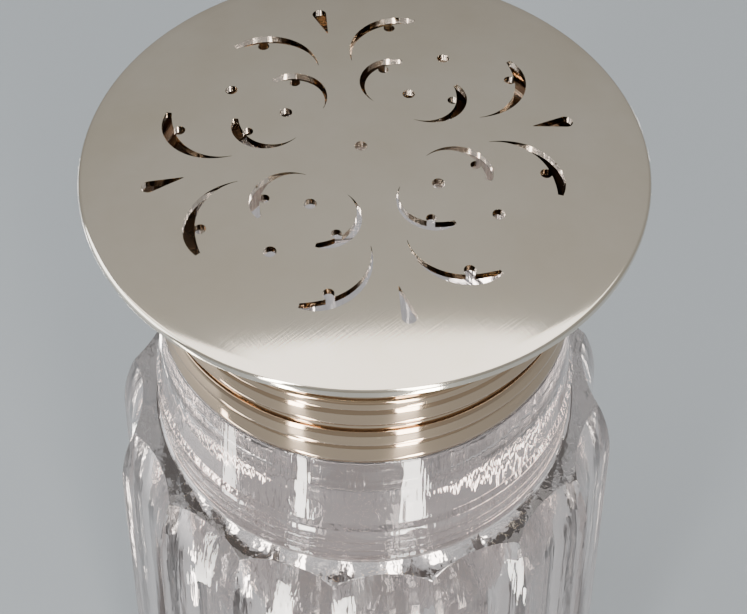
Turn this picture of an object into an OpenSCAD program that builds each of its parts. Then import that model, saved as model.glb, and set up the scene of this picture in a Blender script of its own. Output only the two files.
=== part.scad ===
// Sugar caster: a cut-glass jar with a silver neck ferrule and a pierced silver lid that pulls off.
// The origin is the centre of the jar's base, +Z runs up the axis, and -Y is the front.

/* [Lid] */
// Diameter of the pierced lid plate
lid_d = 68; // [64:0.5:72]
// Thickness of the lid plate
plate_t = 0.9; // [0.7:0.1:1.2]
// Rise of the plate's dome above its rim
dome_rise = 2.4; // [1.6:0.1:3]
// Depth of the lip that is turned down round the plate
lip_h = 1.2; // [1:0.1:1.8]
// Width of that lip
lip_t = 0.8; // [0.6:0.1:1.2]

/* [Piercing] */
// Turn of the pierced pattern about the axis, in degrees
pattern_turn = 12.8; // [0:0.1:90]
// Distance that the pierced pattern stands off the centre, to the left
pattern_shift = 0.5; // [0:0.1:0.6]
// Diameter of the single round holes
dot_d = 1.5; // [1.2:0.1:1.8]
// Distance of the inner ring of round holes from the centre
inner_dot_r = 10.7; // [10.4:0.1:11]
// Distance of the outer ring of round holes from the centre
outer_dot_r = 18.8; // [18.4:0.1:19.2]
// Distance of the teardrops' round ends from the centre
drop_r = 25.3; // [24.8:0.1:25.8]
// Length of a teardrop from the centre of its round end to its tip
drop_l = 4.2; // [3.6:0.1:4.6]
// Diameter of a teardrop's round end
drop_d = 1.75; // [1.4:0.05:1.9]
// Outer radius of the large scrolls
large_scroll_r = 7.2; // [7:0.1:7.4]
// Widest part of the large scrolls
large_scroll_w = 1.4; // [1.1:0.05:1.5]
// Outer radius of the small scrolls
small_scroll_r = 4.7; // [4.5:0.1:4.9]
// Widest part of the small scrolls
small_scroll_w = 1.25; // [0.9:0.05:1.3]

/* [Collar] */
// Outer radius of the moulded rings on the collar
ring_r = 26.8; // [26.6:0.1:27]
// Height from the ferrule's foot to the lip of the plate
collar_h = 24.9; // [24:0.1:26]
// Thickness of the silver sheet of the sleeves
sheet_t = 0.6; // [0.5:0.05:0.65]
// Gap between the lid's bezel and the ferrule, on the radius
fit_gap = 0.05; // [0.03:0.01:0.08]
// Height of the dark seam where the lid sits above the ferrule's ring
seam_h = 0.15; // [0.1:0.05:0.3]

/* [Jar] */
// Diameter of the jar below its shoulder, over the ridges between its flutes
jar_d = 70.4; // [69:0.2:72]
// How far the jar's side leans out from there to its base
flare = 4; // [2:0.1:4.5]
// Height of the jar from its base to the shoulder
shoulder_z = 91; // [75:1:110]
// Number of flutes round the jar
flutes = 16; // [16]
// Turn of the flutes about the axis, in degrees
flute_turn = 4.7; // [0:0.1:22.5]
// Depth of a flute at its middle, below the ridges at the shoulder
flute_depth = 1.9; // [1.6:0.1:2.2]
// Radius of the inside of the jar below its shoulder
bore_r = 28.5; // [27:0.5:29]
// Radius of the inside of the jar at its floor
foot_bore_r = 31; // [29:0.5:33]
// Thickness of the glass floor
floor_t = 10; // [8:0.5:14]
// Radius of the inside of the neck
neck_bore_r = 19.5; // [18:0.5:20]
// Number of rays of the star cut under the base
star_rays = 16; // [12:2:20]

/* [Hidden] */
$fn = 120;
eps = 0.01;

// glass: the stepped band, the plain drum above it and the neck inside the ferrule
jar_r = jar_d / 2;
blank_r = jar_r + 0.4;
foot_blank_r = blank_r + flare;
shoulder_round = 5;
side_top_z = shoulder_z - shoulder_round;
base_bevel = 2;
band_h = 7.4;
band_r = 28.4;
drum_h = 12.2;
drum_foot_r = 27.9;
drum_top_r = 26.7;
drum_z = shoulder_z + band_h;
ledge_z = drum_z + drum_h;
neck_r = 23.2;
neck_h = 14;
rim_z = ledge_z + neck_h;
cavity_bevel = 1.5;
cavity_top_z = shoulder_z - 9;
cavity_cone_h = 15;
star_r = 25;
star_hub_r = 8;

// silver sleeves, from the neck outwards
plaster_t = 0.6;
ferrule_in_r = neck_r + plaster_t;
ferrule_r = ferrule_in_r + 0.8;
foot_ring_h = 3.2;
seat_z = ledge_z + foot_ring_h + seam_h;
bezel_in_r = ferrule_r + fit_gap;
bezel_r = bezel_in_r + 0.5;
skirt_r = bezel_r + sheet_t;
flare_z = seat_z + 16;
flare_w = 1.9;

// the plate is part of a sphere whose top stands dome_rise above the rim
lid_r = lid_d / 2;
rim_top_z = ledge_z + collar_h;
dome_r = (lid_r * lid_r + dome_rise * dome_rise) / (2 * dome_rise);
dome_z = rim_top_z + dome_rise - dome_r;
plate_fn = 360;

silver = [0.80, 0.78, 0.75];
glass = [0.86, 0.88, 0.90, 0.45];
plaster = [0.90, 0.88, 0.84];

// A ring with a rectangular section
module ring(r_in, r_out, z0, z1) {
    rotate_extrude()
        translate([r_in, z0])
            square([r_out - r_in, z1 - z0]);
}

// A ring with a rounded nose that stands nose_h out of a square section
module bead_ring(r_in, r_out, z0, z1, nose_h) {
    half_h = (z1 - z0) / 2;
    nose_r = (half_h * half_h + nose_h * nose_h) / (2 * nose_h);
    rotate_extrude()
        intersection() {
            union() {
                translate([r_in, z0])
                    square([r_out - nose_h - r_in, z1 - z0]);
                translate([r_out - nose_r, z0 + half_h])
                    circle(r = nose_r, $fn = 64);
            }
            translate([r_in, z0])
                square([r_out - r_in, z1 - z0]);
        }
}

// ---------- glass jar ----------

// Half of the jar's outline, before the flutes are cut
module jar_outline() {
    // body, wider at its foot, with a round shoulder and a bevelled base edge
    polygon([[0, 0], [foot_blank_r - base_bevel, 0], [foot_blank_r, base_bevel],
             [blank_r, side_top_z], [0, side_top_z]]);
    translate([0, side_top_z - eps])
        square([blank_r - shoulder_round, shoulder_round + eps]);
    translate([blank_r - shoulder_round, side_top_z])
        circle(r = shoulder_round, $fn = 64);
    // stepped band: two cut rings below a wider one
    translate([0, shoulder_z - eps])
        square([band_r - 0.5, band_h + eps]);
    translate([0, shoulder_z - eps])
        square([band_r, 1.7]);
    translate([0, shoulder_z + 2])
        square([band_r, 1.5]);
    translate([0, shoulder_z + 3.9])
        square([band_r, 2.4]);
    // plain drum up to the ledge that carries the ferrule
    polygon([[0, drum_z - eps], [drum_foot_r, drum_z - eps], [drum_foot_r, drum_z],
             [drum_top_r, ledge_z], [0, ledge_z]]);
    // neck inside the ferrule
    translate([0, ledge_z - eps])
        square([neck_r, neck_h + eps]);
}

// Half of the hollow inside the jar, which narrows to the neck in a cone
module jar_hollow() {
    neck_bore_z = cavity_top_z + cavity_cone_h;
    polygon([[0, floor_t], [foot_bore_r - cavity_bevel, floor_t],
             [foot_bore_r, floor_t + cavity_bevel], [bore_r, cavity_top_z],
             [neck_bore_r, neck_bore_z], [0, neck_bore_z]]);
    translate([0, neck_bore_z - eps])
        square([neck_bore_r, rim_z + 1 - neck_bore_z]);
}

// The jar's fluted side: each flute is a few flats, and all of them lean in evenly
module fluted_side() {
    flats = 6;
    half_chord = jar_r * sin(180 / flutes);
    sag = flute_depth - jar_r * (1 - cos(180 / flutes));
    nose_r = (half_chord * half_chord + sag * sag) / (2 * sag);
    half_arc = asin(half_chord / nose_r);
    mid_r = jar_r - flute_depth + nose_r;
    lean = flare / side_top_z / jar_r;
    foot_scale = 1 + lean * (side_top_z + 1);
    top_scale = 1 - lean * (shoulder_round + 1);
    translate([0, 0, -1])
        linear_extrude(height = shoulder_z + 2, scale = top_scale / foot_scale)
            scale(foot_scale)
                polygon([
                    for (i = [0 : flutes - 1], j = [0 : flats - 1])
                        let (turn = -90 + flute_turn + i * 360 / flutes,
                             at = half_arc * (2 * j / flats - 1),
                             x = mid_r - nose_r * cos(at),
                             y = nose_r * sin(at))
                            [x * cos(turn) - y * sin(turn), x * sin(turn) + y * cos(turn)]
                ]);
}

// One groove of the star under the base, a V cut that runs outwards from a small round recess
module star_groove() {
    groove_w = 2.4;
    rotate([90, 0, 0])
        translate([0, 0, star_hub_r - 0.5])
            linear_extrude(height = star_r - star_hub_r)
                polygon([[-groove_w / 2, -eps], [groove_w / 2, -eps], [0, groove_w / 2]]);
}

module glass_jar() {
    color(glass)
        difference() {
            intersection() {
                rotate_extrude()
                    intersection() {
                        difference() {
                            jar_outline();
                            jar_hollow();
                        }
                        square([foot_blank_r + 1, rim_z + 1]);
                    }
                union() {
                    fluted_side();
                    translate([0, 0, shoulder_z])
                        cylinder(r = band_r + 2, h = rim_z);
                }
            }
            for (i = [0 : star_rays - 1])
                rotate([0, 0, flute_turn + i * 360 / star_rays])
                    star_groove();
            translate([0, 0, -1])
                cylinder(r = star_hub_r, h = 2.4);
        }
}

// ---------- silver neck mount ----------

module neck_plaster() {
    color(plaster)
        ring(neck_r, ferrule_in_r, ledge_z, rim_z);
}

// Sleeve on the neck, with its top turned in over the glass rim
module neck_ferrule() {
    turn_in = 2.2;
    color(silver)
        union() {
            ring(ferrule_in_r, ferrule_r, ledge_z, rim_z + sheet_t);
            ring(neck_r - turn_in, ferrule_in_r + eps, rim_z, rim_z + sheet_t);
        }
}

module ferrule_foot_ring() {
    color(silver)
        bead_ring(ferrule_r, ring_r, ledge_z, ledge_z + foot_ring_h, 1);
}

// ---------- silver lid ----------

// A scroll: a crescent between two circles whose tips are 2 * half_span degrees apart
// on the outer one, with a small round hole against its hollow side
module scroll(centre, r, w, mid, half_span, ball_at, ball_d) {
    shift = w * (2 * r - w) / (2 * (r * (1 - cos(half_span)) - w));
    translate(centre)
        rotate(mid) {
            difference() {
                circle(r = r);
                translate([-shift, 0])
                    circle(r = r - w + shift);
            }
            rotate(ball_at)
                translate([r - w - 0.3 * ball_d, 0])
                    circle(d = ball_d, $fn = 32);
        }
}

// Teardrop pointing at the centre of the plate
module teardrop() {
    r = drop_d / 2;
    side = 0.96 * r;
    translate([drop_r, 0])
        circle(r = r, $fn = 32);
    polygon([[drop_r - drop_l, 0], [drop_r, -side], [drop_r, side]]);
}

// A large and a small scroll beside one teardrop
module scroll_pair() {
    scroll([15.1, 8.8], large_scroll_r, large_scroll_w, -33, 57, 26, 1.4);
    scroll([9.6, 6.6], small_scroll_r, small_scroll_w, -52, 72, 33, 1.25);
}

// The whole pierced pattern: a centre hole, and four like quarters
module piercing() {
    circle(d = dot_d, $fn = 32);
    for (i = [0 : 3])
        rotate(i * 90) {
            teardrop();
            scroll_pair();
            mirror([0, 1]) scroll_pair();
            rotate(45) {
                translate([inner_dot_r, 0])
                    circle(d = dot_d, $fn = 32);
                translate([outer_dot_r, 0])
                    circle(d = dot_d, $fn = 32);
            }
        }
}

// The ball that the underside of the plate is part of, as a half outline
module under_dome(r) {
    translate([0, dome_z])
        circle(r = r, $fn = plate_fn);
}

module lid_plate() {
    color(silver)
        difference() {
            rotate_extrude()
                union() {
                    intersection() {
                        difference() {
                            under_dome(dome_r);
                            under_dome(dome_r - plate_t);
                        }
                        translate([0, rim_top_z - 3])
                            square([lid_r, dome_rise + 4]);
                    }
                    translate([lid_r - lip_t, rim_top_z - lip_h])
                        square([lip_t, lip_h]);
                }
            translate([-pattern_shift, 0, rim_top_z - 4])
                rotate([0, 0, pattern_turn])
                    linear_extrude(height = dome_rise + 6)
                        piercing();
        }
}

// The collar's wall, which flares out to the underside of the plate, clear of the teardrops
module lid_skirt() {
    top_z = rim_top_z + 1;
    color(silver)
        rotate_extrude()
            intersection() {
                polygon([[bezel_r, seat_z], [skirt_r, seat_z], [skirt_r, flare_z],
                         [skirt_r + flare_w, top_z], [bezel_r + flare_w, top_z],
                         [bezel_r, flare_z]]);
                under_dome(dome_r - plate_t);
            }
}

// The lining that the ferrule fits in
module lid_bezel() {
    color(silver)
        ring(bezel_in_r, bezel_r, seat_z, flare_z - 1);
}

module skirt_foot_ring() {
    color(silver)
        bead_ring(skirt_r, ring_r, seat_z, seat_z + 2.4, 0.6);
}

// Moulded band above the cove: a broad bead with a narrow one on it
module skirt_band() {
    band_z = seat_z + 4.2;
    color(silver)
        union() {
            bead_ring(skirt_r, ring_r - 0.1, band_z, band_z + 2.6, 0.6);
            bead_ring(skirt_r, ring_r - 0.4, band_z + 2.6 - eps, band_z + 4.2, 0.4);
        }
}

glass_jar();
neck_plaster();
neck_ferrule();
ferrule_foot_ring();
lid_plate();
lid_skirt();
lid_bezel();
skirt_foot_ring();
skirt_band();
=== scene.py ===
import math

import bpy
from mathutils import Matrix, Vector


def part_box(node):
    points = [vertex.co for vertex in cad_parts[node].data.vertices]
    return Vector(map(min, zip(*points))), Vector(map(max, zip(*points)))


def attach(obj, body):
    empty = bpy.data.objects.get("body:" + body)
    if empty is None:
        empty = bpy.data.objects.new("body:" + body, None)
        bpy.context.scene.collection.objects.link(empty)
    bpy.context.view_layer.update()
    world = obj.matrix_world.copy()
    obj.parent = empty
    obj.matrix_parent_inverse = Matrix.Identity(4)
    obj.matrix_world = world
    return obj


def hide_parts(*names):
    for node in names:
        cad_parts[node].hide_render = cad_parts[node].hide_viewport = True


bl_info = {
    "name": "Sugar caster",
    "version": (1, 0, 0),
    "blender": (4, 5, 0),
    "location": "3D View > Sidebar > Caster",
    "description": "A cut-glass sugar caster with a pierced silver lid, built round its frame",
    "category": "Add Mesh",
}

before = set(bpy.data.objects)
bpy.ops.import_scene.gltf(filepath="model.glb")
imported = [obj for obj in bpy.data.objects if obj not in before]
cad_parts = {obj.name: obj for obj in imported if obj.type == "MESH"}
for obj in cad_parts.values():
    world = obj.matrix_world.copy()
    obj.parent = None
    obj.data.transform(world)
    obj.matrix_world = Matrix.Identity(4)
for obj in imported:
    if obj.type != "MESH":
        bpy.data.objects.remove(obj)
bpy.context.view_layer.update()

# Everything is modelled in millimetres, and each finished piece is brought to metres.
METRE = 0.001


# ---------------------------------------------------------------- the frame, in millimetres

def bottom(node):
    """The height of a node's lowest point."""
    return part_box(node)[0].z / METRE


def top(node):
    """The height of a node's highest point."""
    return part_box(node)[1].z / METRE


def radius(node):
    """The radius of a node that is round about the Z axis."""
    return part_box(node)[1].x / METRE


# ---------------------------------------------------------------- what a user may change

class CasterJar(bpy.types.PropertyGroup):
    """Sizes of the glass jar."""

    flutes: bpy.props.IntProperty(
        name="Flutes", description="Number of flutes round the jar", default=16, min=12, max=20)
    ridge_radius: bpy.props.FloatProperty(
        name="Ridge radius", description="Radius over the ridges below the shoulder, in mm",
        default=35.2, unit="LENGTH")
    flare: bpy.props.FloatProperty(
        name="Flare", description="How far the side leans out from there to the base, in mm",
        default=4, unit="LENGTH")
    flute_depth: bpy.props.FloatProperty(
        name="Flute depth", description="Depth of a flute below the ridges, in mm",
        default=1.9, unit="LENGTH")
    flute_turn: bpy.props.FloatProperty(
        name="Flute turn", description="Turn of the flutes about the axis",
        default=math.radians(4.7), subtype="ANGLE")
    shoulder: bpy.props.FloatProperty(
        name="Shoulder", description="Height of the shoulder, in mm", default=91, unit="LENGTH")
    band_radius: bpy.props.FloatProperty(
        name="Band radius", description="Radius of the stepped band, in mm",
        default=28.4, unit="LENGTH")
    bore_radius: bpy.props.FloatProperty(
        name="Bore radius", description="Radius of the inside below the shoulder, in mm",
        default=28.5, unit="LENGTH")
    floor_bore_radius: bpy.props.FloatProperty(
        name="Floor bore radius", description="Radius of the inside at its floor, in mm",
        default=31, unit="LENGTH")
    neck_bore_radius: bpy.props.FloatProperty(
        name="Neck bore radius", description="Radius of the inside of the neck, in mm",
        default=19.5, unit="LENGTH")
    floor: bpy.props.FloatProperty(
        name="Floor", description="Thickness of the glass floor, in mm", default=10, unit="LENGTH")


class CasterLid(bpy.types.PropertyGroup):
    """Sizes of the silver lid."""

    thickness: bpy.props.FloatProperty(
        name="Plate thickness", description="Thickness of the pierced plate, in mm",
        default=0.9, unit="LENGTH")
    lip: bpy.props.FloatProperty(
        name="Lip", description="Width of the lip turned down round the plate, in mm",
        default=0.8, unit="LENGTH")
    pattern_turn: bpy.props.FloatProperty(
        name="Pattern turn", description="Turn of the pierced pattern about the axis",
        default=math.radians(12.8), subtype="ANGLE")
    pattern_shift: bpy.props.FloatVectorProperty(
        name="Pattern shift", description="How far the pattern stands off the middle, in mm",
        size=2, default=(-0.5, 0), subtype="XYZ", unit="LENGTH")
    dot: bpy.props.FloatProperty(
        name="Dot", description="Diameter of the single round holes, in mm",
        default=1.5, unit="LENGTH")


class CasterColours(bpy.types.PropertyGroup):
    """Colours, as sRGB hex values."""

    plate: bpy.props.StringProperty(
        name="Plate", description="Colour of the polished sheet silver", default="E2DCD1")
    tarnish: bpy.props.StringProperty(
        name="Tarnish", description="Colour of the faint tarnish on the plate", default="CFC5B2")
    mouldings: bpy.props.StringProperty(
        name="Mouldings", description="Colour of the burnished mouldings", default="BDA78F")
    # painted shade: this colour goes into the grooves through an occlusion mask, so it is partly
    # real tarnish and partly painted shade
    groove_tarnish_and_shade: bpy.props.StringProperty(
        name="Grime", description="Colour of the tarnish left in the grooves", default="5E4630")
    inside: bpy.props.StringProperty(
        name="Inside", description="Colour of the unpolished silver inside", default="6B5A4A")
    glass: bpy.props.StringProperty(
        name="Glass", description="Colour of the lead crystal", default="EDE3E0")
    plaster: bpy.props.StringProperty(
        name="Plaster", description="Colour of the plaster in the neck", default="E6E0D2")
    floor: bpy.props.StringProperty(
        name="Floor", description="Colour of the studio floor", default="6C7175")
    floor_glow: bpy.props.StringProperty(
        name="Floor glow", description="Colour of the light the floor gives", default="969CA1")


# ---------------------------------------------------------------- modelling helpers

def make_active(obj):
    """Select one object and nothing else, in object mode."""
    active = bpy.context.view_layer.objects.active
    if active and active.mode != "OBJECT":
        bpy.ops.object.mode_set(mode="OBJECT")
    bpy.ops.object.select_all(action="DESELECT")
    if obj:
        obj.select_set(True)
        bpy.context.view_layer.objects.active = obj


def edit_all(obj):
    """Open an object in edit mode with all of it selected."""
    make_active(obj)
    bpy.ops.object.mode_set(mode="EDIT")
    bpy.ops.mesh.select_all(action="SELECT")


def close_edit(merge=0.002):
    """Merge doubled vertices, turn the faces outwards and leave edit mode."""
    bpy.ops.mesh.select_all(action="SELECT")
    bpy.ops.mesh.remove_doubles(threshold=merge)
    bpy.ops.mesh.delete_loose(use_verts=True, use_edges=True, use_faces=False)
    bpy.ops.mesh.select_all(action="SELECT")
    bpy.ops.mesh.normals_make_consistent(inside=False)
    bpy.ops.object.mode_set(mode="OBJECT")


def laid_out(name, points):
    """A circle whose vertices are laid along a closed outline."""
    make_active(None)
    bpy.ops.mesh.primitive_circle_add(vertices=len(points), radius=1, fill_type="NOTHING")
    ring = bpy.context.object
    ring.name = name
    for vertex, point in zip(ring.data.vertices, points):
        vertex.co = point
    return ring


def arc(centre, r, start, end, count):
    """Points on an arc, with its angles in degrees."""
    angles = [math.radians(start + (end - start) * i / count) for i in range(count + 1)]
    return [(centre[0] + r * math.cos(a), centre[1] + r * math.sin(a)) for a in angles]


def rounded(corners, step=12):
    """A closed outline through (x, y, radius) corners, with an arc of that radius at each."""
    points = []
    for i, (x, y, r) in enumerate(corners):
        here = Vector((x, y))
        if r == 0:
            points.append((x, y))
            continue
        back = (Vector(corners[i - 1][:2]) - here).normalized()
        on = (Vector(corners[(i + 1) % len(corners)][:2]) - here).normalized()
        half = back.angle(on) / 2
        centre = here + (back + on).normalized() * r / math.sin(half)
        spoke = here + back * r / math.tan(half) - centre
        turn = spoke.angle_signed(here + on * r / math.tan(half) - centre)
        count = max(2, math.ceil(abs(math.degrees(turn)) / step))
        for k in range(count + 1):
            a = -turn * k / count
            points.append((centre.x + spoke.x * math.cos(a) - spoke.y * math.sin(a),
                           centre.y + spoke.x * math.sin(a) + spoke.y * math.cos(a)))
    return points


def turned(name, outline, steps=192):
    """A piece turned on the Z axis from a closed (radius, height) outline."""
    piece = laid_out(name, [(x, 0, z) for x, z in outline])
    edit_all(piece)
    bpy.ops.mesh.spin(steps=steps, angle=2 * math.pi, center=(0, 0, 0), axis=(0, 0, 1))
    close_edit()
    return piece


def prism(name, outline, low, high):
    """An upright prism on a closed (x, y) outline."""
    piece = laid_out(name, [(x, y, low) for x, y in outline])
    edit_all(piece)
    bpy.ops.mesh.edge_face_add()
    bpy.ops.mesh.extrude_region_move(TRANSFORM_OT_translate={"value": (0, 0, high - low)})
    close_edit()
    return piece


def joined(name, pieces):
    """Several objects made one."""
    make_active(pieces[0])
    for piece in pieces:
        piece.select_set(True)
    bpy.ops.object.join()
    bpy.context.object.name = name
    return bpy.context.object


def copied_round(piece, count):
    """Repeat all of a mesh count times round the Z axis."""
    edit_all(piece)
    bpy.ops.mesh.spin(steps=count - 1, angle=2 * math.pi * (count - 1) / count,
                      dupli=True, center=(0, 0, 0), axis=(0, 0, 1))
    close_edit()


def carve(piece, cutter):
    """Cut one solid out of another."""
    make_active(piece)
    cut = piece.modifiers.new("carve", "BOOLEAN")
    cut.operation = "DIFFERENCE"
    cut.solver = "EXACT"
    cut.object = cutter
    bpy.ops.object.modifier_apply(modifier=cut.name)
    bpy.data.objects.remove(cutter)


def soften(piece, width, angle=30, segments=2):
    """Bevel the edges that are sharper than an angle."""
    make_active(piece)
    bevel = piece.modifiers.new("soften", "BEVEL")
    bevel.width = width
    bevel.segments = segments
    bevel.limit_method = "ANGLE"
    bevel.angle_limit = math.radians(angle)
    bevel.miter_outer = "MITER_ARC"
    bpy.ops.object.modifier_apply(modifier=bevel.name)


def turn_about_axis(piece, angle):
    """Turn a finished shape about the Z axis."""
    make_active(piece)
    piece.rotation_euler.z = angle
    bpy.ops.object.transform_apply(location=False, rotation=True, scale=False)


def set_down(piece, body, slot, material, *nodes, smooth=40):
    """Bring a finished piece to metres, shade it, and let it ride in place of its CAD nodes."""
    make_active(piece)
    piece.scale = (METRE, METRE, METRE)
    bpy.ops.object.transform_apply(location=True, rotation=True, scale=True)
    bpy.ops.object.shade_smooth_by_angle(angle=math.radians(smooth))
    piece.data.materials.clear()
    piece.data.materials.append(material)
    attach(piece, body)
    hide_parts(*nodes)
    return piece


# ---------------------------------------------------------------- materials

def per(size):
    """The scale that gives a pattern this size, in mm."""
    return 1 / (size * METRE)


def linear(hex_colour):
    """An sRGB hex colour as linear RGBA."""
    values = [int(hex_colour[i:i + 2], 16) / 255 for i in (0, 2, 4)]
    return [v / 12.92 if v <= 0.04045 else ((v + 0.055) / 1.055) ** 2.4 for v in values] + [1.0]


def add_node(material, kind, links=None, **settings):
    """Add a node, with its properties or unlinked inputs set and its linked inputs joined."""
    node = material.node_tree.nodes.new(kind)
    for key, value in settings.items():
        name = key.replace("_", " ")
        socket = next((s for s in node.inputs if s.name.lower() == name and s.enabled), None)
        if socket:
            socket.default_value = value
        elif hasattr(node, key):
            setattr(node, key, value)
        else:
            raise KeyError(f"{kind} has no {key}")
    for target, source in (links or {}).items():
        material.node_tree.links.new(source, node.inputs[target])
    return node


def new_material(name):
    """An empty node material."""
    material = bpy.data.materials.new(name)
    material.use_nodes = True
    material.node_tree.nodes.clear()
    return material


def finish_material(material, shader):
    """Join a shader to the material's output."""
    add_node(material, "ShaderNodeOutputMaterial", {"Surface": shader.outputs[0]})
    return material


def object_place(material):
    """Object coordinates, in metres."""
    return add_node(material, "ShaderNodeTexCoord").outputs["Object"]


def rub_marks(material, place, turn, width, length):
    """Straight hair-fine marks left by rubbing with a cloth in one direction."""
    mapping = add_node(material, "ShaderNodeMapping", {"Vector": place},
                       vector_type="TEXTURE", rotation=(0, 0, math.radians(turn)),
                       scale=(length * METRE, width * METRE, length * METRE))
    noise = add_node(material, "ShaderNodeTexNoise", {"Vector": mapping.outputs[0]},
                     scale=1.0, detail=2.0, roughness=0.6)
    return noise.outputs["Fac"]


def sheet_silver(colours):
    """Sterling silver sheet, hand-polished: a soft mirror with hair-fine rubbing marks."""
    material = new_material("hand_polished_sheet_silver")
    place = object_place(material)
    cloudy = add_node(material, "ShaderNodeTexNoise", {"Vector": place},
                      scale=per(14), detail=4.0, roughness=0.6)
    tint = add_node(material, "ShaderNodeMix", {"Factor": cloudy.outputs["Fac"]},
                    data_type="RGBA")
    tint.inputs[6].default_value = linear(colours.plate)
    tint.inputs[7].default_value = linear(colours.tarnish)
    smear = add_node(material, "ShaderNodeMapRange", {"Value": cloudy.outputs["Fac"]},
                     from_min=0.3, from_max=0.7, to_min=0.06, to_max=0.1)
    marks = rub_marks(material, place, 82, 0.14, 6)
    for turn, width, length in ((128, 0.18, 5), (40, 0.22, 8)):
        marks = add_node(material, "ShaderNodeMath", operation="ADD", links={
            0: marks, 1: rub_marks(material, place, turn, width, length)}).outputs[0]
    bump = add_node(material, "ShaderNodeBump", {"Height": marks},
                    strength=0.4, distance=0.004 * METRE)
    shader = add_node(material, "ShaderNodeBsdfPrincipled",
                      {"Base Color": tint.outputs[2], "Roughness": smear.outputs[0],
                       "Normal": bump.outputs[0]}, metallic=1.0)
    return finish_material(material, shader)


def turned_silver(colours):
    """Silver turned on a lathe and burnished: a brighter mirror, darker in its grooves with tarnish
    and painted shade.
    """
    material = new_material("turned_burnished_silver")
    place = object_place(material)
    cloudy = add_node(material, "ShaderNodeTexNoise", {"Vector": place},
                      scale=per(6), detail=3.0, roughness=0.6)
    smear = add_node(material, "ShaderNodeMapRange", {"Value": cloudy.outputs["Fac"]},
                     from_min=0.3, from_max=0.7, to_min=0.05, to_max=0.1)
    lines = add_node(material, "ShaderNodeMapping", {"Vector": place},
                     scale=(per(6), per(6), per(0.15)))
    turning = add_node(material, "ShaderNodeTexNoise", {"Vector": lines.outputs[0]},
                       scale=1.0, detail=2.0, roughness=0.5)
    bump = add_node(material, "ShaderNodeBump", {"Height": turning.outputs["Fac"]},
                    strength=0.25, distance=0.004 * METRE)
    # painted shade: an ambient-occlusion mask mixes the dark groove colour in where the mouldings
    # are shaded, so the dark grooves are partly real tarnish and partly painted shade
    occlusion_shade = add_node(material, "ShaderNodeAmbientOcclusion", samples=8, distance=0.5 * METRE)
    edge = add_node(material, "ShaderNodeMapRange", {"Value": occlusion_shade.outputs["AO"]},
                    from_min=0.2, from_max=0.75)
    tint = add_node(material, "ShaderNodeMix", {"Factor": edge.outputs[0]}, data_type="RGBA")
    tint.inputs[6].default_value = linear(colours.groove_tarnish_and_shade)
    tint.inputs[7].default_value = linear(colours.mouldings)
    shader = add_node(material, "ShaderNodeBsdfPrincipled",
                      {"Base Color": tint.outputs[2], "Roughness": smear.outputs[0],
                       "Normal": bump.outputs[0]}, metallic=1.0)
    return finish_material(material, shader)


def inside_silver(colours):
    """Silver as it comes from pickling, unpolished: dull and a little grey."""
    material = new_material("unpolished_silver")
    place = object_place(material)
    cloudy = add_node(material, "ShaderNodeTexNoise", {"Vector": place},
                      scale=per(4), detail=5.0, roughness=0.6)
    rough = add_node(material, "ShaderNodeMapRange", {"Value": cloudy.outputs["Fac"]},
                     from_min=0.3, from_max=0.7, to_min=0.25, to_max=0.4)
    bump = add_node(material, "ShaderNodeBump", {"Height": cloudy.outputs["Fac"]},
                    strength=0.1, distance=0.05 * METRE)
    shader = add_node(material, "ShaderNodeBsdfPrincipled",
                      {"Roughness": rough.outputs[0], "Normal": bump.outputs[0]},
                      metallic=1.0, base_color=linear(colours.inside))
    return finish_material(material, shader)


def lead_crystal(colours):
    """Lead crystal, cut and acid-polished: heavy refraction and a wavy surface."""
    material = new_material("cut_lead_crystal")
    place = object_place(material)
    strokes = add_node(material, "ShaderNodeMapping", {"Vector": place},
                       scale=(per(1.1), per(1.1), per(30)))
    waves = add_node(material, "ShaderNodeTexNoise", {"Vector": strokes.outputs[0]},
                     scale=1.0, detail=2.0, roughness=0.5)
    bump = add_node(material, "ShaderNodeBump", {"Height": waves.outputs["Fac"]},
                    strength=0.7, distance=0.1 * METRE)
    # the weak glow stands in for light that is lost after many turns inside the thick glass
    shader = add_node(material, "ShaderNodeBsdfPrincipled", {"Normal": bump.outputs[0]},
                      base_color=linear(colours.glass), roughness=0.0, ior=1.545,
                      transmission_weight=1.0, emission_color=linear(colours.glass),
                      emission_strength=0.014)
    return finish_material(material, shader)


def cast_plaster(colours):
    """Plaster of Paris: matt and chalky."""
    material = new_material("cast_plaster")
    place = object_place(material)
    grains = add_node(material, "ShaderNodeTexNoise", {"Vector": place},
                      scale=per(0.4), detail=3.0, roughness=0.6)
    bump = add_node(material, "ShaderNodeBump", {"Height": grains.outputs["Fac"]},
                    strength=0.3, distance=0.1 * METRE)
    shader = add_node(material, "ShaderNodeBsdfPrincipled", {"Normal": bump.outputs[0]},
                      base_color=linear(colours.plaster), roughness=0.85)
    return finish_material(material, shader)


def studio_floor(colours):
    """A sheet of pale satin acrylic, with the faintest mottle."""
    material = new_material("studio_acrylic")
    place = object_place(material)
    mottle = add_node(material, "ShaderNodeTexNoise", {"Vector": place},
                      scale=per(160), detail=3.0, roughness=0.5)
    rough = add_node(material, "ShaderNodeMapRange", {"Value": mottle.outputs["Fac"]},
                     to_min=0.22, to_max=0.3)
    shader = add_node(material, "ShaderNodeBsdfPrincipled", {"Roughness": rough.outputs[0]},
                      base_color=linear(colours.floor), emission_color=linear(colours.floor_glow),
                      emission_strength=0.5)
    return finish_material(material, shader)


# ---------------------------------------------------------------- glass jar

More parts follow.
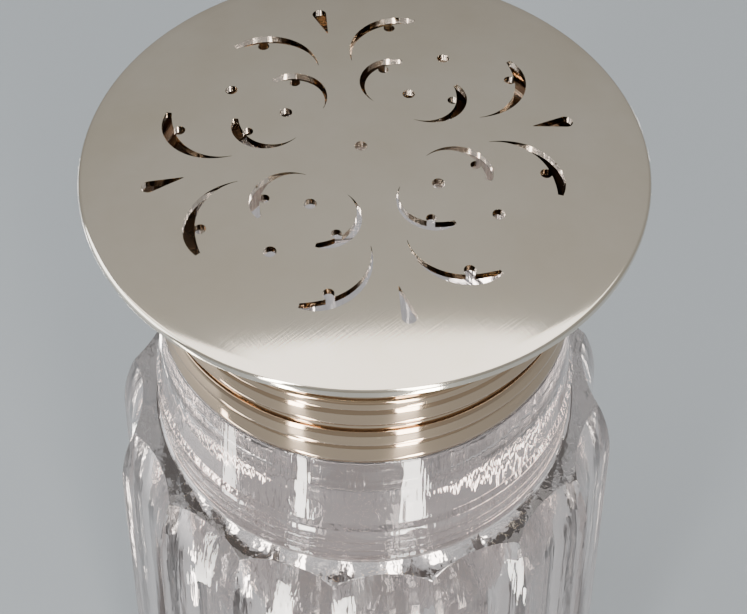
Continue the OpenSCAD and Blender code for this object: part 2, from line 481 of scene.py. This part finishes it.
def jar_outline(jar):
    """Half of the jar before it is cut: outside, rim and hollow."""
    # the blank stands a little proud of the ridges, which the flutes cut out of it
    blank = jar.ridge_radius + 0.4
    foot = blank + jar.flare
    sh = jar.shoulder
    ledge = bottom("ferrule_foot_ring")
    rim = top("glass_jar")
    neck = 23.2
    band = jar.band_radius
    # the hollow narrows to the neck in one long curve
    hollow_top = sh + 6
    hollow_side = hollow_top - 15
    return rounded([
        # star's middle, base and side
        (0, 1.4, 0), (8, 1.4, 0.4), (8, 0, 0.3), (foot, 0, 2.5), (blank, sh - 0.2, 5),
        # stepped band: two cut rings below a wider one
        (band, sh + 0.3, 0.8), (band, sh + 1.7, 0.25), (band - 0.55, sh + 1.85, 0.06),
        (band, sh + 2.0, 0.25), (band, sh + 3.6, 0.25), (band - 0.55, sh + 3.75, 0.06),
        (band, sh + 3.9, 0.25), (band, sh + 6.4, 0.5), (band - 0.5, sh + 7.4, 0.3),
        # plain drum, ledge, neck and rim
        (26.7, ledge, 0.3), (neck, ledge, 0.3), (neck, rim, 0.8),
        (jar.neck_bore_radius, rim, 1.2), (jar.neck_bore_radius, hollow_top, 12),
        (jar.bore_radius, hollow_side, 16), (jar.floor_bore_radius, jar.floor, 6),
        (0, jar.floor, 0),
    ], step=5)


def flute_tool(jar):
    """The cut that makes one flute: down the leaning side, then further in over the shoulder."""
    half = math.pi / jar.flutes
    half_chord = jar.ridge_radius * math.sin(half)
    sag = jar.flute_depth - jar.ridge_radius * (1 - math.cos(half))
    nose = (half_chord ** 2 + sag ** 2) / (2 * sag)
    floor_r = jar.ridge_radius - jar.flute_depth
    # from this height up the cut bends inwards, on this radius
    start = jar.shoulder - 12
    bend = 35
    # the side grows by this part of its radius for each mm further down
    lean = jar.flare / (jar.shoulder - 5) / jar.ridge_radius
    foot_size = 1 + lean * jar.shoulder
    start_size = 1 + lean * 7
    outline = arc((floor_r + nose, 0), nose, 150, 210, 54)
    outline += [(floor_r + 12, -12), (floor_r + 12, 12)]
    tool = laid_out("flute_tool", [(x * foot_size, y * foot_size, -2) for x, y in outline])
    edit_all(tool)
    bpy.ops.mesh.edge_face_add()
    bpy.ops.mesh.extrude_region_move(TRANSFORM_OT_translate={"value": (0, 0, start + 2)})
    size = start_size / foot_size
    bpy.ops.transform.resize(value=(size, size, 1), center_override=(0, 0, start))
    bpy.ops.mesh.spin(steps=24, angle=math.radians(24), axis=(0, 1, 0),
                      center=(floor_r * start_size - bend, 0, start - bend * lean * floor_r))
    close_edit()
    return tool


def star_tool(count):
    """The V-shaped rays of the star under the base: square bars with a corner upwards."""
    make_active(None)
    bpy.ops.mesh.primitive_cone_add(vertices=4, radius1=1.2, radius2=0.5, depth=17,
                                    location=(16, 0, 0), rotation=(0, math.radians(90), 0))
    tool = bpy.context.object
    bpy.ops.object.transform_apply(location=True, rotation=True, scale=True)
    copied_round(tool, count)
    return tool


class CASTER_OT_jar(bpy.types.Operator):
    """Make the fluted glass jar with its stepped band."""

    bl_idname = "caster.jar"
    bl_label = "Glass jar"

    def execute(self, context):
        jar = context.scene.caster_jar
        half = math.pi / jar.flutes
        piece = turned("glass_jar_cut", jar_outline(jar), steps=jar.flutes * 12)
        carve(piece, flute_tool(jar))
        # keep the one flute that was cut, and repeat it round the jar
        for side in (1, -1):
            edit_all(piece)
            bpy.ops.mesh.bisect(plane_co=(0, 0, 0), threshold=0.0001,
                                plane_no=(-math.sin(half), side * math.cos(half), 0),
                                clear_outer=True)
            bpy.ops.object.mode_set(mode="OBJECT")
        copied_round(piece, jar.flutes)
        soften(piece, 0.18, angle=28)
        carve(piece, star_tool(jar.flutes))
        turn_about_axis(piece, jar.flute_turn - math.pi / 2)
        set_down(piece, "jar", "cut_glass", lead_crystal(context.scene.caster_colours),
                 "glass_jar", smooth=24)
        return {"FINISHED"}


# ---------------------------------------------------------------- neck mount

class CASTER_OT_neck_mount(bpy.types.Operator):
    """Make the plaster, the ferrule and its moulded foot ring."""

    bl_idname = "caster.neck_mount"
    bl_label = "Neck mount"

    def execute(self, context):
        colours = context.scene.caster_colours
        outer = radius("neck_ferrule")
        ring = radius("ferrule_foot_ring")
        foot = bottom("neck_ferrule")
        head = top("neck_ferrule")
        plaster_top = top("neck_plaster")
        plaster_r = radius("neck_plaster")
        sheet = head - plaster_top
        ferrule = turned("ferrule_sleeve", rounded([
            (plaster_r, foot, 0), (outer, foot, 0), (outer, head, 0.45),
            (21.0, head, 0.25), (21.0, plaster_top, 0.2), (plaster_r, plaster_top, 0),
        ]))
        set_down(ferrule, "jar", "silver_inside", inside_silver(colours), "neck_ferrule")
        ring_top = top("ferrule_foot_ring")
        foot_ring = turned("ferrule_ring", rounded([
            (outer, foot, 0), (ring - 0.2, foot, 0.2), (ring, foot + 0.9, 1.0),
            (ring - 0.45, ring_top - 0.7, 1.4), (ring - 0.85, ring_top, 0.1),
            (outer, ring_top, 0),
        ], step=6))
        set_down(foot_ring, "jar", "silver_mouldings", turned_silver(colours),
                 "ferrule_foot_ring")
        plaster = turned("plaster_bed", rounded([
            (plaster_r - sheet, foot, 0), (plaster_r, foot, 0),
            (plaster_r, plaster_top, 0.1), (plaster_r - sheet, plaster_top, 0.1),
        ]))
        set_down(plaster, "jar", "plaster", cast_plaster(colours), "neck_plaster")
        return {"FINISHED"}


# ---------------------------------------------------------------- lid

# The plate's rim stands this far below its middle.
DOME_RISE = 2.4
RIM_TOP = top("lid_plate") - DOME_RISE


def dome_height(r):
    """Height of the plate's top at a radius: part of a sphere."""
    edge = radius("lid_plate")
    rise = top("lid_plate") - RIM_TOP
    sphere = (edge ** 2 + rise ** 2) / (2 * rise)
    return RIM_TOP + rise - sphere + math.sqrt(sphere ** 2 - r ** 2)


def plate_outline(lid):
    """Half of the plate: a shallow dome with its edge rolled and turned down."""
    edge = radius("lid_plate")
    under = bottom("lid_plate")
    rings = [edge * i / 40 for i in range(39)]
    top_side = [(r, dome_height(r), 0) for r in rings]
    inner = edge - lid.lip
    roll = [(edge, RIM_TOP + 0.02, 0.55), (edge, under, 0.35), (inner, under, 0.3),
            (inner, dome_height(inner) - lid.thickness, 0.2)]
    low_side = [(r, dome_height(r) - lid.thickness, 0) for r in reversed(rings) if r < inner - 0.5]
    return rounded(top_side + roll + low_side)


def swell(s):
    """A scroll's width along it: a hair at its tail, fullest by its bud, half at its head."""
    fullest = 0.76
    if s < fullest:
        return 0.04 + 0.96 * math.sin(math.pi / 2 * s / fullest) ** 1.5
    return math.cos(1.1 * (s - fullest) / (1 - fullest))


def scroll_outline(centre, r, start, end, width, side):
    """A scroll along an arc from its tail to its head."""
    count = 36
    outer, inner = [], []
    for i in range(count + 1):
        s = i / count
        angle = math.radians(start + (end - start) * s)
        half = width / 2 * swell(s)
        ray = (math.cos(angle), math.sin(angle))
        outer.append((centre[0] + (r + half) * ray[0], centre[1] + (r + half) * ray[1]))
        inner.append((centre[0] + (r - half) * ray[0], centre[1] + (r - half) * ray[1]))
    points = outer + inner[::-1]
    return [(x, side * y) for x, y in points]


def bud_outline(centre, r, at, drop, ball, side):
    """The bud on a scroll's hollow side: a round hole on a short stem."""
    angle = math.radians(at)
    ray = (math.cos(angle), math.sin(angle))
    hub = (centre[0] + (r - drop) * ray[0], centre[1] + (r - drop) * ray[1])
    stem = 50
    points = arc(hub, ball / 2, at + stem, at + 360 - stem, 20)
    neck = ball / 2 * math.sin(math.radians(stem))
    for sign in (-1, 1):
        points.append((centre[0] + r * ray[0] - sign * neck * ray[1],
                       centre[1] + r * ray[1] + sign * neck * ray[0]))
    return [(x, side * y) for x, y in points]


def piercing_tools(lid):
    """The cutters for the pierced pattern, the second one holding what overlaps the first."""
    low, high = bottom("lid_plate") - 1, top("lid_plate") + 1
    scrolls = [
        dict(centre=(15.1, 8.8), r=6.7, start=-90, end=24, width=1.4, at=-8, drop=1.3, ball=1.4),
        dict(centre=(9.6, 6.6), r=4.25, start=-124, end=21, width=1.25, at=-20, drop=1.1, ball=1.25),
    ]
    first, second = [], []
    for scroll in scrolls:
        shape = {k: scroll[k] for k in ("centre", "r", "start", "end", "width")}
        bud = {k: scroll[k] for k in ("centre", "r", "at", "drop", "ball")}
        for side in (1, -1):
            first.append(prism("scroll", scroll_outline(side=side, **shape), low, high))
            second.append(prism("bud", bud_outline(side=side, **bud), low, high))
    tip, round_end, drop = 21.1, 25.25, 0.88
    first.append(prism("teardrop", [(tip, -0.2), (tip, -0.3)]
                       + arc((round_end, 0), drop, -88, 110, 16), low, high))
    for distance in (10.7, 18.8):
        offset = distance * math.sqrt(0.5)
        first.append(prism("dot", arc((offset, offset), lid.dot / 2, 0, 348, 29), low, high))
    quarter = joined("piercing", first)
    copied_round(quarter, 4)
    buds = joined("buds", second)
    copied_round(buds, 4)
    hole = prism("middle_dot", arc((0, 0), lid.dot / 2, 0, 348, 29), low, high)
    return [joined("piercing", [quarter, hole]), buds]


class CASTER_OT_plate(bpy.types.Operator):
    """Make the domed plate and pierce it."""

    bl_idname = "caster.plate"
    bl_label = "Pierced plate"

    def execute(self, context):
        lid = context.scene.caster_lid
        piece = turned("pierced_plate", plate_outline(lid))
        for tool in piercing_tools(lid):
            make_active(tool)
            tool.rotation_euler.z = lid.pattern_turn
            tool.location = (lid.pattern_shift[0], lid.pattern_shift[1], 0)
            bpy.ops.object.transform_apply(location=True, rotation=True, scale=False)
            carve(piece, tool)
        soften(piece, 0.09, angle=50, segments=1)
        set_down(piece, "lid", "silver_plate", sheet_silver(context.scene.caster_colours),
                 "lid_plate", smooth=30)
        return {"FINISHED"}


class CASTER_OT_collar(bpy.types.Operator):
    """Make the lid's moulded collar and its lining."""

    bl_idname = "caster.collar"
    bl_label = "Collar"

    def execute(self, context):
        colours = context.scene.caster_colours
        lid = context.scene.caster_lid
        burnished = turned_silver(colours)
        bezel_in = radius("neck_ferrule") + 0.05
        bezel = radius("lid_bezel")
        wall = 0.6
        skirt = bezel + wall
        seat = bottom("lid_skirt")
        ring = radius("skirt_foot_ring")
        ring_top = top("skirt_foot_ring")
        band_low = bottom("skirt_band")
        band_top = top("skirt_band")

        def under(r):
            return dome_height(r) - lid.thickness

        # the wall flares out below the plate, clear of the teardrops
        flare = skirt + 1.9
        lining = turned("collar_lining", rounded([
            (bezel_in, seat, 0.1), (bezel, seat, 0), (bezel, top("lid_bezel"), 0),
            (bezel_in, top("lid_bezel"), 0.2),
        ]))
        set_down(lining, "lid", "silver_inside", inside_silver(colours), "lid_bezel")
        sleeve = turned("collar_sleeve", rounded([
            (bezel, seat, 0), (skirt, seat, 0), (skirt, ring_top - 0.1, 0),
            (skirt - 0.25, (ring_top + band_low) / 2, 1.6), (skirt, band_low + 0.1, 0),
            (skirt, under(skirt) - 4, 5), (flare, under(flare), 0),
            (flare - wall, under(flare - wall), 0), (skirt - wall, under(skirt) - 3.6, 5),
        ], step=6))
        set_down(sleeve, "lid", "silver_mouldings", burnished, "lid_skirt")
        lower = turned("collar_lower_ring", rounded([
            (skirt, seat, 0), (ring - 0.25, seat, 0.2), (ring, seat + 0.7, 0.8),
            (ring - 0.45, ring_top - 0.55, 1.2), (ring - 0.75, ring_top, 0.1),
            (skirt, ring_top, 0),
        ], step=6))
        set_down(lower, "lid", "silver_mouldings", burnished, "skirt_foot_ring")
        split = band_low + 2.6
        band = turned("collar_band", rounded([
            (skirt, band_low, 0), (ring - 0.35, band_low, 0.2), (ring - 0.1, band_low + 0.7, 0.8),
            (ring - 0.5, split - 0.5, 1.2), (ring - 0.85, split, 0.08),
            (ring - 0.45, split + 0.35, 0.4), (ring - 0.65, band_top - 0.2, 0.5),
            (skirt, band_top, 0),
        ], step=6))
        set_down(band, "lid", "silver_mouldings", burnished, "skirt_band")
        return {"FINISHED"}


# ---------------------------------------------------------------- stage

def soft_light(name, place, aim, size, power, colour, turn=0):
    """A softbox of a width and height that points at a place, all in metres."""
    make_active(None)
    bpy.ops.object.light_add(type="AREA", location=place)
    lamp = bpy.context.object
    lamp.name = name
    lamp.rotation_euler = (Vector(aim) - Vector(place)).to_track_quat("-Z", "Y").to_euler()
    lamp.rotation_euler.rotate_axis("Z", math.radians(turn))
    lamp.data.shape = "RECTANGLE"
    lamp.data.size, lamp.data.size_y = size
    lamp.data.energy = power
    lamp.data.color = colour
    lamp.visible_camera = False
    return lamp


def floor_strip(name, azimuth, reach, size, power):
    """A strip light laid on the floor beside the jar, pointing at its axis."""
    turn = math.radians(azimuth)
    place = Vector((math.sin(turn), -math.cos(turn), 0)) * reach + Vector((0, 0, 0.002))
    lamp = soft_light(name, place, place + Vector((0, 0, 1)), size, power, (1, 0.95, 0.88))
    lamp.rotation_euler = (math.pi, 0, turn)


class CASTER_OT_stage(bpy.types.Operator):
    """Set out the floor, the lights and the camera."""

    bl_idname = "caster.stage"
    bl_label = "Studio"

    def execute(self, context):
        make_active(None)
        bpy.ops.mesh.primitive_plane_add(size=3.0)
        floor = context.object
        floor.name = "studio_floor"
        floor.data.materials.append(studio_floor(context.scene.caster_colours))

        world = bpy.data.worlds.new("studio")
        world.use_nodes = True
        context.scene.world = world
        dome = add_node(world, "ShaderNodeTexCoord").outputs["Generated"]
        height = add_node(world, "ShaderNodeSeparateXYZ", {"Vector": dome}).outputs["Z"]
        glow = add_node(world, "ShaderNodeMapRange", {"Value": height},
                        from_min=0.35, from_max=0.9, to_min=0.4, to_max=0.62)
        backdrop = world.node_tree.nodes["Background"]
        backdrop.inputs["Color"].default_value = linear("FFFDF8")
        world.node_tree.links.new(glow.outputs[0], backdrop.inputs["Strength"])

        lid = (0, 0, RIM_TOP * METRE)
        soft_light("overhead", (0, -0.02, 1.0), lid, (1.5, 0.8), 11.5, (1, 0.95, 0.91), turn=6)
        soft_light("front_left", (-0.34, -0.6, 0.42), lid, (0.09, 0.8), 6, (1, 0.98, 0.95))
        soft_light("front_right", (0.22, -0.63, 0.42), lid, (0.13, 0.8), 8, (1, 0.97, 0.93))
        soft_light("side_left", (-0.7, 0.0, 0.36), lid, (0.6, 0.6), 6.0, (0.97, 0.99, 1))

        # Strips on the floor give the upright silver and glass their bright streaks.
        floor_strip("strip_front_left", -28, 0.14, (0.014, 0.11), 0.18)
        floor_strip("strip_front_right", 23, 0.14, (0.022, 0.11), 0.28)
        floor_strip("strip_left", -66, 0.15, (0.012, 0.14), 0.08)
        floor_strip("strip_back_left", -140, 0.13, (0.015, 0.12), 0.09)
        floor_strip("strip_back_right", 152, 0.13, (0.015, 0.12), 0.09)

        # The camera looks down at the lid from the front, close to it, as a hand-held one would.
        edge = radius("lid_plate")
        target = Vector((0.034 * edge, -0.659 * edge, RIM_TOP)) * METRE
        elevation = math.radians(51.25)
        distance = 5.36 * edge * METRE
        away = Vector((0, -math.cos(elevation), math.sin(elevation)))
        bpy.ops.object.camera_add(location=target + away * distance)
        camera = context.object
        camera.name = "front_view"
        camera.rotation_euler = (-away).to_track_quat("-Z", "Y").to_euler()
        camera.rotation_euler.rotate_axis("Z", math.radians(0.5))
        camera.data.lens = 79.5
        camera.data.sensor_width = 36
        camera.data.clip_start = 0.01
        context.scene.camera = camera
        return {"FINISHED"}


# ---------------------------------------------------------------- add-on

class CASTER_PT_panel(bpy.types.Panel):
    """The caster's pieces, in the order they are made."""

    bl_idname = "CASTER_PT_panel"
    bl_label = "Sugar caster"
    bl_space_type = "VIEW_3D"
    bl_region_type = "UI"
    bl_category = "Caster"

    def draw(self, context):
        layout = self.layout
        for group in (context.scene.caster_jar, context.scene.caster_lid,
                      context.scene.caster_colours):
            box = layout.box()
            for name in group.__annotations__:
                box.prop(group, name)
        for operator in OPERATORS:
            layout.operator(operator.bl_idname)


OPERATORS = [CASTER_OT_jar, CASTER_OT_neck_mount, CASTER_OT_plate, CASTER_OT_collar,
             CASTER_OT_stage]
CLASSES = [CasterJar, CasterLid, CasterColours, *OPERATORS, CASTER_PT_panel]


def register():
    for cls in CLASSES:
        bpy.utils.register_class(cls)
    bpy.types.Scene.caster_jar = bpy.props.PointerProperty(type=CasterJar)
    bpy.types.Scene.caster_lid = bpy.props.PointerProperty(type=CasterLid)
    bpy.types.Scene.caster_colours = bpy.props.PointerProperty(type=CasterColours)


def unregister():
    del bpy.types.Scene.caster_jar, bpy.types.Scene.caster_lid, bpy.types.Scene.caster_colours
    for cls in reversed(CLASSES):
        bpy.utils.unregister_class(cls)


def main():
    register()
    bpy.ops.caster.jar()
    bpy.ops.caster.neck_mount()
    bpy.ops.caster.plate()
    bpy.ops.caster.collar()
    bpy.ops.caster.stage()


if __name__ == "__main__":
    main()
